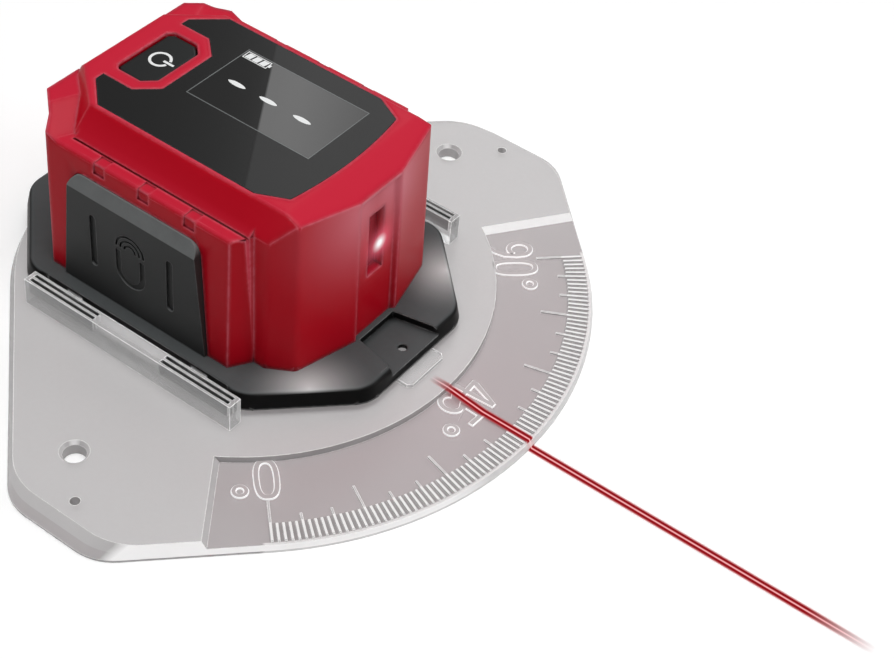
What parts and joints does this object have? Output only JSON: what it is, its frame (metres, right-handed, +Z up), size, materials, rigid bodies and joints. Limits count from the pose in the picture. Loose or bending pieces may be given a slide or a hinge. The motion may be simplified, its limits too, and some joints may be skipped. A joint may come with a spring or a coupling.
{
  "type": "digital laser level on a protractor plate",
  "caption": "Laser level with a red housing, screen and power button, on an eight-sided base in a clear cradle that turns over a clear protractor plate with degree marks",
  "frame": {"origin": "centre of the degree marks, on the underside of the protractor plate", "axes": "+X runs along the 45 degree mark, where the laser line goes; +Y is the 90 degree side, along the plate's length; +Z is up"},
  "size_m": [0.133, 0.1644, 0.0502],
  "materials": {
    "clear_plate": "clear moulded plastic, lightly frosted",
    "clear_cradle": "clear moulded plastic",
    "black_base": "fine textured black plastic",
    "red_housing": "satin red plastic",
    "black_pad": "fine textured black plastic",
    "black_panel": "gloss black plastic",
    "black_button": "satin black plastic",
    "window": "clear pane",
    "steel": "zinc plated steel",
    "magnet": "nickel plated magnet",
    "board": "green circuit board",
    "chip": "black moulded package",
    "rubber": "soft rubber",
    "battery": "blue film wrap",
    "screen": "dark screen glass",
    "brass": "turned brass",
    "aluminium": "machined aluminium",
    "lens": "clear glass",
    "lead": "red wire cover"
  },
  "bodies": {
    "plate": {"protractor_plate": "clear_plate", "pivot_washer": "steel", "pivot_screw": "steel"},
    "laser_unit": {"cradle": "clear_cradle", "base_shell": "black_base", "housing_shell": "red_housing", "side_pad_near": "black_pad", "side_pad_far": "black_pad", "side_magnets": "magnet", "top_panel": "black_panel", "button_boot": "rubber", "tact_switch": "chip", "screen_gasket": "rubber", "screen_module": "screen", "screen_connector": "rubber", "main_board": "board", "processor_chip": "chip", "tilt_sensor": "chip", "board_screws": "steel", "battery_bed": "rubber", "battery_pack": "battery", "chassis_plate": "aluminium", "chassis_screws": "steel", "charge_board": "board", "charge_port": "steel", "buzzer": "chip", "laser_bracket": "aluminium", "bracket_screws": "steel", "laser_barrel": "brass", "laser_diode": "steel", "line_lens": "lens", "laser_window": "window", "housing_screws": "steel", "battery_lead": "lead", "laser_lead": "lead"},
    "button": {"power_button": "black_button"}
  },
  "joints": [
    {"name": "turntable", "type": "hinge", "parent": "plate", "child": "laser_unit", "pos_m": [0, 0, 0.0045], "axis": [0, 0, 1], "range_deg": [-45, 45]},
    {"name": "button_press", "type": "slide", "parent": "laser_unit", "child": "button", "axis": [0, 0, -1], "range_m": [0, 0.0006], "stiffness_N_per_m": 1500, "deforming": ["button_boot"]}
  ]
}
